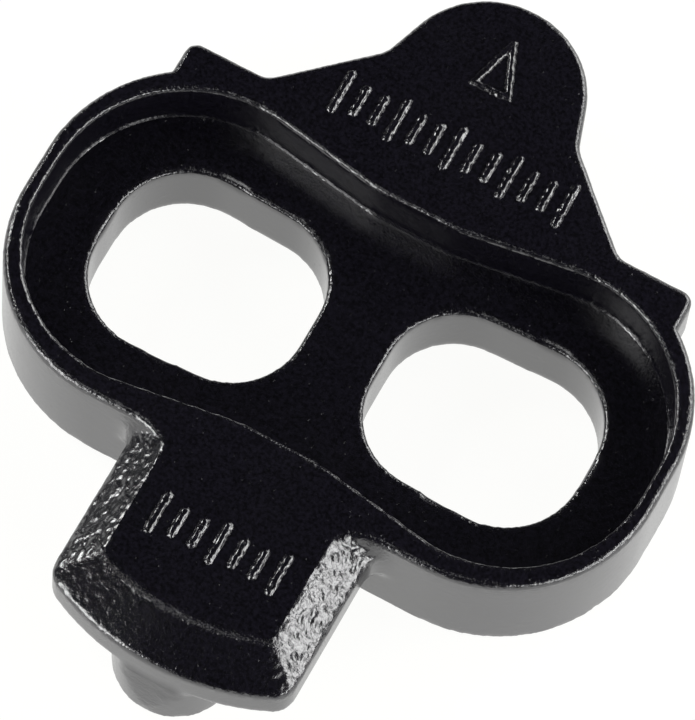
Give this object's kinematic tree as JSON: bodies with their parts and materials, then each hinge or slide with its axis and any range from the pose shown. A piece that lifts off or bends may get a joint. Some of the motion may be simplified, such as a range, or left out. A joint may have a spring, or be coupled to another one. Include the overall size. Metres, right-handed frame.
{
  "type": "clipless pedal cleat",
  "caption": "Black steel two-bolt cleat with a hooked nose, a ramped tail and a washer recess round its bolt slots.",
  "frame": {"origin": "on the sole face, midway between the two bolt slots", "axes": "+Y towards the nose, +Z out of the shoe towards the pedal, X along the row of the two slots"},
  "size_m": [0.0318, 0.0362, 0.0062],
  "materials": {
    "black_steel": "satin"
  },
  "bodies": {
    "root": {"cleat_body": "black_steel"}
  },
  "joints": []
}
